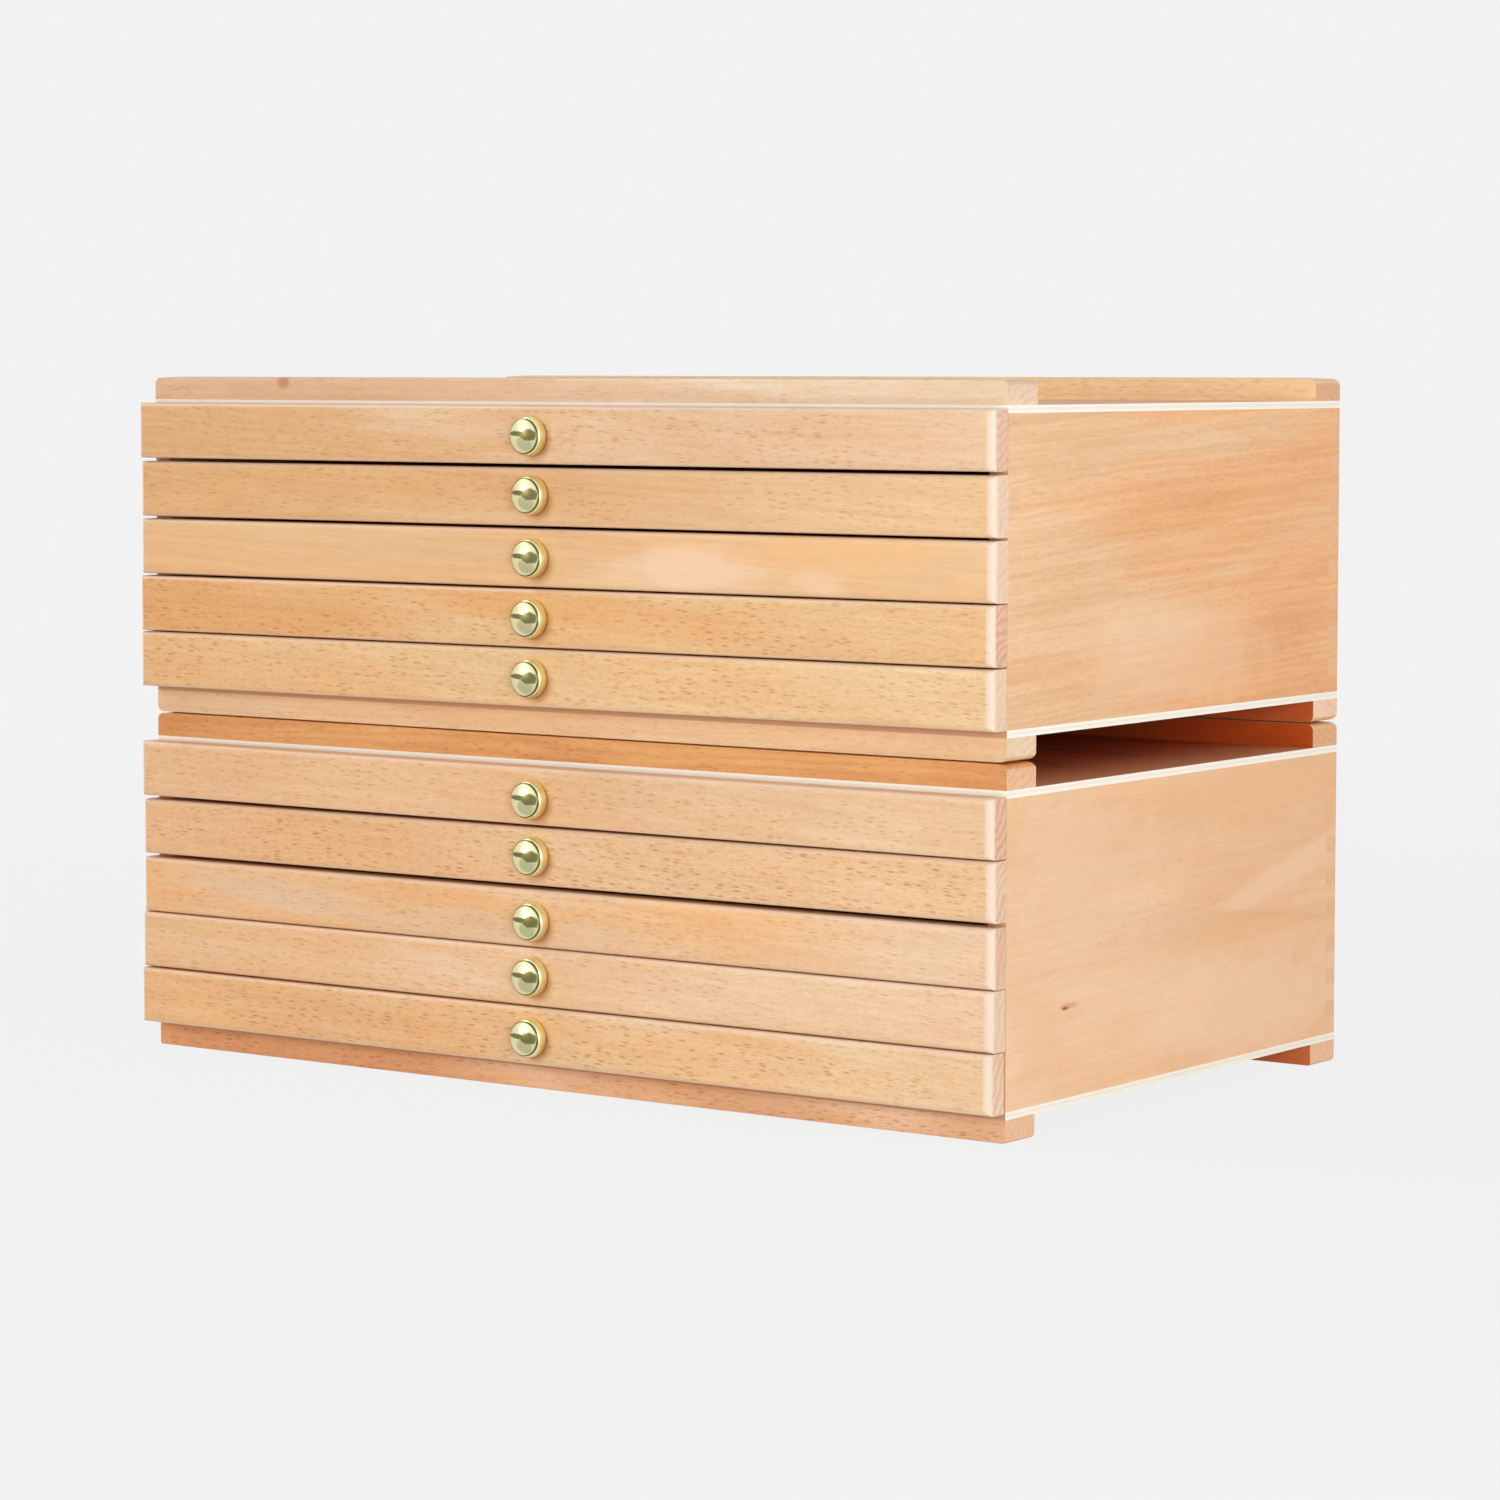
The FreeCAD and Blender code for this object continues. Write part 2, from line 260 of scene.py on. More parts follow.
# %% The scales and tints of beech
WANDER_SCALE = (6, 22, 22)
RIPPLE_SCALE = (70, 160, 160)
RIPPLE_REACH = (0, 1.2 * MM, 1.2 * MM)
PATCH_SCALE = (7, 45, 45)
BAND_SCALE = (6, 20, 20)
YEAR_WIDTH = 3.2 * MM
YEAR_SCALE = (9, 110, 110)
YEAR_WANDER = 2.4
LONG_FIBRE_SCALE = (26, 520, 520)
SHORT_FIBRE_SCALE = (150, 800, 800)
STREAK_SCALE = (7, 480, 480)
CROWD_SCALE = (14, 70, 70)
LARGE_FLECK_SCALE = (165, 820, 820)
SMALL_FLECK_SCALE = (330, 1500, 1500)
FLECK_SIZE = (0.06, 0.46)
SMALL_FLECK_SHARE = 0.55
END_SHARE, FLECKS_LOST = 0.85, 0.7
LATE_WOOD = (232, 202, 180)
FLECK_TINT = (216, 184, 138)
SATIN = (0.36, 0.46)
GREY = (0.5, 0.5, 0.5)
SOCKETS = {
    "INPUT": {
        "NodeSocketVector": ("Place", "Shift", "Pith"),
        "NodeSocketColor": ("Light tone", "Deep tone", "End tone", "Edge tone"),
        "NodeSocketFloat": ("End", "Painted highlight", "Figure", "Fibres", "Streaks", "Wave", "Rings",
                            "End rings", "Flecks", "Lean"),
    },
    "OUTPUT": {"NodeSocketColor": ("Colour",), "NodeSocketFloat": ("Roughness", "Relief")},
}
print("room for a large fleck in mm:", [round(1000 / often, 1) for often in LARGE_FLECK_SCALE])

# %% [markdown]
# Three helpers make the parts of the pattern. Noise is stretched along the grain by its
# scale. Shade in wood is warm, and a grey one would look dirty, so the darker a spot is,
# the more blue and the less red it loses. A fleck is the end of a ray, one of the thin
# sheets that run out from the pith. Each is a small lens in a cell of a stretched cell
# pattern, and some are faint while others are strong.

# %% Parts of the beech pattern
def noise(tree, place, scale, detail=2.0, roughness=0.5, distortion=0.0, output="Fac"):
    """Soft noise that repeats as often in a metre as the scale says for each axis."""
    at = vector(tree, "MULTIPLY", place, scale)
    node = put(tree, "TexNoise", {"Vector": at, "Scale": 1.0, "Detail": detail,
                                  "Roughness": roughness, "Distortion": distortion})
    return node.outputs[output]


def warm(tree, shade):
    """A tint that takes more blue than red away as the shade falls below one."""
    less_red, less_green = calc(tree, "POWER", shade, 0.5), shade
    less_blue = calc(tree, "POWER", shade, 1.5)
    return put(tree, "CombineColor", {0: less_red, 1: less_green, 2: less_blue}).outputs[0]


def lenses(tree, place, scale, none, full):
    """Lens-shaped marks; a cell's own chance, from none to full, sets how strong one is."""
    cells = put(tree, "TexVoronoi", {"Vector": vector(tree, "MULTIPLY", place, scale),
                                     "Scale": 1.0, "Randomness": 1.0}).outputs
    lens = smooth(tree, cells["Distance"], *FLECK_SIZE, 1.0, 0.0)
    chance = put(tree, "SeparateColor", {0: cells["Color"]}).outputs[0]
    return times(tree, lens, smooth(tree, chance, none, full))


print("helpers for the pattern:", [part.__name__ for part in (noise, warm, lenses)])

# %% [markdown]
# A node group holds the pattern once, and every board uses it with its own settings. Each
# part is laid over the ones before it: patches, bands, rings, fibres, streaks and flecks.

# %% The beech pattern
def beech_group():
    """A node group: pattern coordinates in, colour, roughness and relief out."""
    tree = bpy.data.node_groups.new("beech", "ShaderNodeTree")
    for way, kinds in SOCKETS.items():
        for kind, names in kinds.items():
            for name in names:
                tree.interface.new_socket(name, in_out=way, socket_type=kind)
    given = tree.nodes.new("NodeGroupInput").outputs
    made = tree.nodes.new("NodeGroupOutput").inputs

    # the grain wanders a little from straight
    place = vector(tree, "ADD", given["Place"], given["Shift"])
    push = noise(tree, place, WANDER_SCALE, output="Color")
    push = vector(tree, "SUBTRACT", push, GREY)
    across = put(tree, "CombineXYZ", {"Y": given["Wave"], "Z": given["Wave"]}).outputs[0]
    place = vector(tree, "ADD", place, vector(tree, "MULTIPLY", push, across))
    ripple = noise(tree, place, RIPPLE_SCALE, 1.0, output="Color")
    ripple = vector(tree, "SUBTRACT", ripple, GREY)
    place = vector(tree, "ADD", place, vector(tree, "MULTIPLY", ripple, RIPPLE_REACH))

    # long patches between the two tones of the board
    along = put(tree, "SeparateXYZ", {0: given["Place"]}).outputs["X"]
    lean = times(tree, along, given["Lean"])
    patches = calc(tree, "ADD", noise(tree, place, PATCH_SCALE, 3.0, 0.55), lean)
    patches = smooth(tree, patches, 0.34, 0.66)
    base = blend_colour(tree, patches, given["Deep tone"], given["Light tone"])
    base = blend_colour(tree, times(tree, given["End"], END_SHARE), base, given["End tone"])

    # a broad figure: soft light and dark bands a few centimetres long
    bands = smooth(tree, noise(tree, place, BAND_SCALE), 0.35, 0.65, -1.0, 1.0)
    bands = calc(tree, "ADD", times(tree, bands, given["Figure"]), 1.0)
    base = blend_colour(tree, 1.0, base, warm(tree, bands), "MULTIPLY")

    # year rings round the pith, strong only on a cut end
    from_pith = vector(tree, "SUBTRACT", place, given["Shift"])
    from_pith = vector(tree, "SUBTRACT", from_pith, given["Pith"])
    from_pith = vector(tree, "MULTIPLY", from_pith, (0, 1, 1))
    years = times(tree, vector(tree, "LENGTH", from_pith), 1 / YEAR_WIDTH)
    years = calc(tree, "ADD", years, times(tree, noise(tree, place, YEAR_SCALE), YEAR_WANDER))
    late = calc(tree, "POWER", calc(tree, "PINGPONG", years, 0.5), 2.0)
    late = times(tree, late, 4.0)
    ends = times(tree, given["End"], given["End rings"])
    ring_share = times(tree, late, calc(tree, "MAXIMUM", given["Rings"], ends))
    base = blend_colour(tree, ring_share, base, colour(*LATE_WOOD), "MULTIPLY")

    # fibres: fine streaks along the grain, some long and some short
    fibres = calc(tree, "ADD", noise(tree, place, LONG_FIBRE_SCALE, roughness=0.6),
                  noise(tree, place, SHORT_FIBRE_SCALE, roughness=0.6))
    fibres = times(tree, fibres, 0.5)
    shade = times(tree, smooth(tree, fibres, 0.3, 0.7, -1.0, 0.6), given["Fibres"])
    shade = calc(tree, "ADD", shade, 1.0)
    base = blend_colour(tree, 1.0, base, warm(tree, shade), "MULTIPLY")

    # streaks: long thin lines that run with the grain, a few centimetres each
    streaks = noise(tree, place, STREAK_SCALE, roughness=0.6)
    streaks = smooth(tree, streaks, 0.36, 0.64, -1.0, 0.6)
    shade = calc(tree, "ADD", times(tree, streaks, given["Streaks"]), 1.0)
    base = blend_colour(tree, 1.0, base, warm(tree, shade), "MULTIPLY")

    # flecks: short marks in two sizes, crowded in places and faint on a cut end
    crowd = smooth(tree, noise(tree, place, CROWD_SCALE), 0.32, 0.56, 0.35, 1.0)
    large = times(tree, lenses(tree, place, LARGE_FLECK_SCALE, -0.5, 0.8), crowd)
    small = times(tree, lenses(tree, place, SMALL_FLECK_SCALE, -0.5, 0.9), SMALL_FLECK_SHARE)
    flecks = calc(tree, "MAXIMUM", large, small)
    on_face = calc(tree, "SUBTRACT", 1.0, times(tree, given["End"], FLECKS_LOST))
    flecks = times(tree, flecks, on_face, given["Flecks"])
    base = blend_colour(tree, flecks, base, colour(*FLECK_TINT), "MULTIPLY")

    # a painted highlight on the rounded edges
    base = blend_colour(tree, given["Painted highlight"], base, given["Edge tone"])
    tree.links.new(base, made["Colour"])
    tree.links.new(smooth(tree, fibres, 0.2, 0.8, *SATIN), made["Roughness"])
    relief = calc(tree, "SUBTRACT", times(tree, fibres, 0.5), flecks)
    tree.links.new(relief, made["Relief"])
    return tree


BEECH = beech_group()
print("nodes in the beech pattern:", len(BEECH.nodes))

# %% [markdown]
# Each board is cut from another place in the tree, so each gets its own shift into the
# pattern, its own two tones and its own amount of flecks and figure. The finish is a satin
# oil: a clear but soft gloss over a surface that still shows its fibres. A cut end shows
# where the face looks along the grain. Where an edge is rounded over, a paler tone is painted
# on as a painted highlight: most at a board's end, less along the top and least underneath.

# %% Making a beech board's material
HONEY = (232, 191, 150)
AMBER = (231, 179, 122)
OCHRE = (232, 188, 136)
# A painted highlight on rounded edges: its tone, and its share on top and underneath.
PAINTED_HIGHLIGHT = (238, 219, 201)
HIGHLIGHT_ON_TOP = 0.6
HIGHLIGHT_BELOW = 0.45
RIM_WIDTH = 3.6 * MM
PLANK_SHIFT = (1.7, 0.37, 0.53)
PORE_DEPTH, PORE_STRENGTH = 0.08 * MM, 0.35
CUT_END = (0.90, 0.985)


def painted_edge_highlight(tree, where, end, highlight_share, rim):
    """How strong the painted highlight is: on roundings, and near the end at X = rim."""
    facing = put(tree, "SeparateXYZ", {0: where["Normal"]}).outputs
    steep = [calc(tree, "ABSOLUTE", facing[axis]) for axis in "XYZ"]
    flattest = calc(tree, "MAXIMUM", calc(tree, "MAXIMUM", steep[0], steep[1]), steep[2])
    rounded = smooth(tree, flattest, 0.94, 0.995, highlight_share, 0.0)
    at_end = smooth(tree, steep[0], 0.08, 0.3)
    on_top = smooth(tree, facing["Z"], 0.2, 0.8, 0.0, HIGHLIGHT_ON_TOP)
    below = smooth(tree, facing["Z"], -0.8, -0.2, HIGHLIGHT_BELOW, 0.0)
    level = calc(tree, "MAXIMUM", on_top, below)
    edge = times(tree, rounded, calc(tree, "MAXIMUM", at_end, level))
    if rim is None:
        return edge
    reach = put(tree, "SeparateXYZ", {0: where["Object"]}).outputs["X"]
    near = smooth(tree, reach, rim - 1.1 * RIM_WIDTH, rim - 0.55 * RIM_WIDTH, 0.0, highlight_share)
    near = times(tree, near, calc(tree, "SUBTRACT", 1.0, end))
    return calc(tree, "MAXIMUM", edge, near)


def beech(name, number, grain="x", light=HONEY, deep=AMBER, ends=(236, 192, 156), wave=0.004,
          pith=(0.0, 0.035, 0.06), rings=0.12, end_rings=0.5, flecks=0.6, figure=0.05,
          fibres=0.075, streaks=0.03, lean=0.0, rise=0.0, highlight_share=0.0, rim=None, marks=()):
    """The material of one board, cut from its own place in the tree."""
    material, tree, surface = new_material(name)
    where = put(tree, "TexCoord").outputs
    turn = (-rise, 0.0, -90.0) if grain == "y" else (0.0, rise, 0.0)
    turn = [math.radians(angle) for angle in turn]
    place = put(tree, "Mapping", {"Vector": where["Object"], "Rotation": turn},
                vector_type="POINT").outputs[0]
    along = put(tree, "SeparateXYZ", {0: where["Normal"]}).outputs[grain.upper()]
    end = smooth(tree, calc(tree, "ABSOLUTE", along), *CUT_END)
    group = put(tree, "Group", node_tree=BEECH)
    settings = {
        "Place": place, "End": end, "Painted highlight": painted_edge_highlight(tree, where, end, highlight_share, rim),
        "Shift": [number * step for step in PLANK_SHIFT], "Pith": pith, "Wave": wave,
        "Light tone": colour(*light), "Deep tone": colour(*deep), "End tone": colour(*ends),
        "Edge tone": colour(*PAINTED_HIGHLIGHT), "Figure": figure, "Fibres": fibres, "Streaks": streaks,
        "Rings": rings, "End rings": end_rings, "Flecks": flecks, "Lean": lean,
    }
    fill(tree, group, settings)
    tone = group.outputs["Colour"]
    for mark, *details in marks:
        tone = mark(tree, where["Object"], tone, *details)
    bump = put(tree, "Bump", {"Height": group.outputs["Relief"], "Distance": PORE_DEPTH,
                              "Strength": PORE_STRENGTH}).outputs[0]
    shader = put(tree, "BsdfPrincipled", {"Base Color": tone,
                                          "Roughness": group.outputs["Roughness"],
                                          "Normal": bump, "IOR": 1.5})
    tree.links.new(shader.outputs[0], surface)
    return material


print("tones of plain beech:", HONEY, AMBER, OCHRE)

# %% [markdown]
# Some boards carry marks of their own: a knot, a pale or dark patch, a flame where the saw
# ran out of one year ring into the next, or painted shade, deep and red, on a face that lies
# in shadow. A mark is a function that takes a board's tone and hands back a changed one, so
# a board can have several. Lengths in marks are millimetres.

# %% Marks in the wood
PATCH_EDGE_SCALE = (40, 90, 90)
FLAME_TINT = (244, 205, 172)
FLAME_LINE = (226, 170, 120)


def knot(tree, at, tone, centre, reach, tint, strength=0.85, ragged=0.0):
    """A spot or patch of another tint: an ellipsoid in the board, soft or ragged outside."""
    off = vector(tree, "SUBTRACT", at, [length * MM for length in centre])
    off = vector(tree, "MULTIPLY", off, [1 / (length * MM) for length in reach])
    if ragged:
        cloud = noise(tree, at, PATCH_EDGE_SCALE, 3.0, output="Color")
        cloud = vector(tree, "SUBTRACT", cloud, GREY)
        cloud = vector(tree, "MULTIPLY", cloud, (ragged, ragged, ragged))
        off = vector(tree, "ADD", off, cloud)
    dark = smooth(tree, vector(tree, "LENGTH", off), 0.3, 1.0, strength, 0.0)
    return blend_colour(tree, dark, tone, colour(*tint))


def flame(tree, at, tone, apex, low_slope, high_slope):
    """A wedge that opens along Y from an apex: pale below its top, with a dark lower line."""
    parts = put(tree, "SeparateXYZ", {0: at}).outputs
    along = calc(tree, "SUBTRACT", parts["Y"], apex[0] * MM)
    above = calc(tree, "SUBTRACT", parts["Z"], apex[1] * MM)
    from_top = calc(tree, "SUBTRACT", above, times(tree, along, high_slope))
    from_line = calc(tree, "SUBTRACT", above, times(tree, along, low_slope))
    started = smooth(tree, along, -10 * MM, 30 * MM)
    inside = times(tree, smooth(tree, from_top, 1 * MM, -3 * MM),
                   smooth(tree, from_line, -1 * MM, 4 * MM),
                   smooth(tree, from_top, -16 * MM, -7 * MM), started, 0.58)
    line = smooth(tree, calc(tree, "ABSOLUTE", from_line), 0.4 * MM, 2.4 * MM, 0.45, 0.0)
    tone = blend_colour(tree, inside, tone, colour(*FLAME_TINT))
    return blend_colour(tree, times(tree, line, started), tone, colour(*FLAME_LINE))


def painted_shade_face(tree, at, tone, far, near):
    """Painted shade: a deeper tone on the face that looks forward, from its left end to its
    right one.
    """
    normal = put(tree, "TexCoord").outputs["Normal"]
    facing = put(tree, "SeparateXYZ", {0: normal}).outputs["Y"]
    along = put(tree, "SeparateXYZ", {0: at}).outputs["X"]
    to_the_right = smooth(tree, along, 20 * MM, 200 * MM)
    deep = blend_colour(tree, to_the_right, colour(*far), colour(*near))
    deep = blend_colour(tree, 0.6, deep, tone, "SOFT_LIGHT")
    return blend_colour(tree, smooth(tree, facing, -0.9, -0.5, 1.0, 0.0), tone, deep)


print("kinds of mark:", [mark.__name__ for mark in (knot, flame, painted_shade_face)])

# %% [markdown]
# The ten fronts were not matched: some are smooth and pale, some carry many flecks, and
# one or two lean to orange. A short list gives the character of each, from the top down.
# A narrow ring round each knob is painted darker on the front, most at its lower right:
# a painted shadow of the knob.

# %% The drawer fronts
ROSY_END = (228, 190, 165)
PALE_END = (234, 204, 180)
FRONTS = {
    "upper_drawer_1": dict(light=(228, 191, 152), deep=(221, 171, 118), flecks=0.65,
                           wave=0.006, end_rings=0.55),
    "upper_drawer_2": dict(light=(227, 186, 138), deep=(222, 170, 114), flecks=0.55,
                           wave=0.005, end_rings=0.3, ends=PALE_END),
    "upper_drawer_3": dict(light=(230, 189, 141), deep=(232, 183, 130), flecks=0.12,
                           wave=0.003, end_rings=0.25, ends=PALE_END),
    "upper_drawer_4": dict(light=(229, 187, 135), deep=(229, 172, 112), flecks=0.85,
                           wave=0.006, end_rings=0.75),
    "upper_drawer_5": dict(light=(231, 195, 146), deep=(233, 186, 132), flecks=0.8,
                           wave=0.005, end_rings=0.3, ends=PALE_END),
    "lower_drawer_1": dict(light=(230, 193, 152), deep=(233, 187, 142), flecks=0.6,
                           wave=0.010, end_rings=0.85),
    "lower_drawer_2": dict(light=(231, 192, 148), deep=(231, 181, 131), flecks=1.0,
                           wave=0.006, end_rings=0.6, ends=PALE_END),
    "lower_drawer_3": dict(light=(232, 199, 163), deep=(238, 186, 131), flecks=0.6,
                           wave=0.008, end_rings=0.5),
    "lower_drawer_4": dict(light=(235, 200, 163), deep=(234, 188, 140), flecks=0.6,
                           wave=0.006, end_rings=0.25, ends=PALE_END),
    "lower_drawer_5": dict(light=(232, 198, 156), deep=(235, 184, 130), flecks=0.9,
                           wave=0.006, end_rings=0.6, ends=PALE_END),
}
PATCHES = {
    "upper_drawer_3": ((knot, (74, -118, 197), (46, 12, 15), (243, 210, 180), 0.56, 1.3),
                       (knot, (140, -118, 205), (58, 12, 12), (236, 184, 126), 0.6, 1.2),
                       (knot, (128, -118, 194), (18, 12, 6), (243, 208, 178), 0.45, 1.2)),
}
# A painted shadow of each knob on its front: a dark ring, shifted to the lower right.
KNOB_SHADOW_REACH = (9.6, 14, 9.6)
KNOB_SHADOW_TINT = (166, 90, 38)
KNOB_SHADOW_SHIFT = Vector((1.8, 0, -1.7)) * MM


def dress(node, material):
    """Gives a board of the frame its material."""
    for slot in nodes[node].material_slots:
        slot.material = material


random.seed(4)
for number, (drawer, character) in enumerate(FRONTS.items(), start=1):
    pith = (0.0, random.choice((-1, 1)) * random.uniform(0.02, 0.05),
            random.uniform(-0.03, 0.03))
    low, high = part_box(drawer + "_knob")
    # each front gets a painted shadow ring round its knob
    knob_shadow_centre = [middle / MM for middle in (low + high) / 2 + KNOB_SHADOW_SHIFT]
    marks = PATCHES.get(drawer, ()) + ((knot, knob_shadow_centre, KNOB_SHADOW_REACH, KNOB_SHADOW_TINT, 1.0),)
    character = {"ends": ROSY_END, **character}
    right_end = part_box(drawer + "_front")[1].x
    dress(drawer + "_front", beech(drawer + "_front", number, pith=pith, lean=0.9, rise=-2.5,
                                   highlight_share=0.8, rim=right_end, marks=marks, **character))
print("fronts:", len(FRONTS))

# %% [markdown]
# The case sides run their grain from front to back, so that the fingers at the rear
# corners are long-grain and glue well. The lower right side was cut near a fork in the
# tree: it has a flame, a few cloudy patches and one short dark dash.

# %% The case sides
SIDES = {
    "upper_side_right": dict(
        light=(234, 191, 146), deep=(237, 175, 118), flecks=0.3, wave=0.005, rings=0.04,
        figure=0.05, fibres=0.08, streaks=0.085, rise=2.5,
        marks=((knot, (200, 8, 163), (12, 92, 26), (242, 202, 166), 0.45, 0.8),)),
    "upper_side_left": dict(light=HONEY, deep=OCHRE, flecks=0.4, wave=0.008, rings=0.2),
    "lower_side_right": dict(
        light=(238, 198, 158), deep=(241, 192, 146), flecks=0.2, wave=0.012, rings=0.05,
        figure=0.07, fibres=0.05, streaks=0.03, rise=2.0,
        marks=((knot, (200, 66, 110), (12, 110, 22), (229, 170, 116), 0.42, 0.8),
               (knot, (200, -106, 108), (12, 15, 30), (233, 182, 122), 0.34, 0.5),
               (knot, (200, -64, 92), (12, 58, 42), (241, 203, 172), 0.36, 1.6),
               (knot, (200, 62, 30), (12, 110, 26), (246, 210, 174), 0.6, 0.8),
               (knot, (200, -84, 35), (12, 26, 24), (230, 176, 126), 0.3, 1.2),
               (knot, (200, 70, 60), (12, 96, 8), (231, 176, 122), 0.32, 0.6),
               (flame, (22, 67.9), -0.106, 0.235),
               (knot, (200, -68.5, 44.0), (3, 8.0, 1.5), (206, 142, 92), 0.7, 0.5),
               (knot, (200, -71.2, 43.3), (3, 3.0, 0.9), (112, 62, 34), 0.9, 0.3))),
    "lower_side_left": dict(flecks=0.4, wave=0.012, rings=0.2),
}
for number, (node, character) in enumerate(SIDES.items(), start=21):
    dress(node, beech(node, number, grain="y", pith=(0.0, 0.05, 0.02), lean=-1.5,
                      ends=(234, 184, 138), end_rings=0.2, **character))
print("sides:", len(SIDES))

# %% [markdown]
# The backs and all the rails run their grain across. The upper case's front top rail has a
# small knot near its left end. The lower case's one, under the upper foot rail, has a
# deeper orange tone. Three of the rear rails have painted shade on their face towards
# the front.

# %% The rails and the backs
RAILS = {
    "upper_top_rail_front": dict(
        light=(232, 207, 177), deep=(220, 177, 137), flecks=0.4, figure=0.14, lean=2.0,
        ends=(236, 208, 179),
        marks=((knot, (-132.7, -109.5, 264.3), (4.5, 6, 4.0), (196, 128, 84)),)),
    "upper_top_rail_rear": dict(
        light=(248, 214, 166), deep=(240, 200, 144), flecks=0.5, ends=(225, 172, 130)),
    "upper_foot_rail_front": dict(
        light=(225, 187, 147), deep=(234, 191, 144), flecks=0.4, ends=(236, 213, 181)),
    "upper_foot_rail_rear": dict(
        light=(232, 188, 140), deep=(228, 176, 120), flecks=0.5, ends=(249, 214, 186),
        marks=((painted_shade_face, (150, 70, 40), (196, 106, 66)),)),
    "lower_top_rail_front": dict(
        light=(233, 174, 107), deep=(216, 149, 85), flecks=0.6, wave=0.010, rings=0.4,
        ends=(237, 195, 154)),
    "lower_top_rail_rear": dict(
        light=(232, 184, 132), deep=(228, 172, 116), flecks=0.5, ends=(224, 168, 115),
        marks=((painted_shade_face, (112, 40, 22), (190, 92, 42)),)),
    "lower_foot_rail_front": dict(
        light=(239, 198, 162), deep=(239, 182, 131), flecks=0.9, figure=0.22, lean=1.2,
        ends=(250, 217, 186)),
    "lower_foot_rail_rear": dict(
        light=(232, 186, 136), deep=(228, 174, 118), flecks=0.5, ends=(237, 193, 153),
        marks=((painted_shade_face, (190, 104, 56), (208, 124, 70)),)),
    "upper_back": dict(flecks=0.5, wave=0.010, rings=0.08, ends=(238, 182, 138),
                       end_rings=0.05),
    "lower_back": dict(light=OCHRE, flecks=0.5, wave=0.012, rings=0.08, ends=(238, 192, 150),
                       end_rings=0.05),
}
for number, (node, character) in enumerate(RAILS.items(), start=31):
    character = {"end_rings": 0.3, **character}
    dress(node, beech(node, number, pith=(0.0, 0.03, -0.04), **character))
print("rails and backs:", len(RAILS))

# %% [markdown]
# The boards over and under each case, and the drawer bottoms, are thin plywood. Their
# edges are almost white, with one slightly darker ply between two pale ones. The faces are
# a peeled veneer with a broad, faint figure: warm beech on the case's boards, and a paler
# one in the drawers. The two faces that look at each other between the cases carry painted
# shade, deep and red, with a painted lighter tone near the ends. The front edge of each
# bottom board is painted light brown as painted shade under the drawer fronts.

# %% Plywood
PALE_PLY = (252, 248, 237)
MIDDLE_PLY = (244, 236, 221)
PLY_FUZZ = (243, 234, 217)
# Painted shade on the front edge of a bottom board, under the drawer fronts.
PAINTED_SHADE_EDGE = (204, 152, 112)
CASE_FACES = ((222, 160, 112), (232, 176, 130))
# Painted shade on the two faces between the cases, and a painted lighter tone near their ends.
PAINTED_SHADE_FACES = ((190, 98, 58), (226, 128, 80))
DRAWER_FACES = ((230, 200, 156), (240, 214, 176))
PAINTED_LIGHT_RIM = (222, 158, 118)
RIM_REACH = 60 * MM
VENEER_SCALE = (9, 55, 9)
VENEER_LINE_SCALE = (9, 380, 9)
FUZZ_SCALE = (300, 300, 2500)
FUZZ_DEPTH, FUZZ_STRENGTH = 0.1 * MM, 0.3
CORE_REACH = (0.13, 0.21)


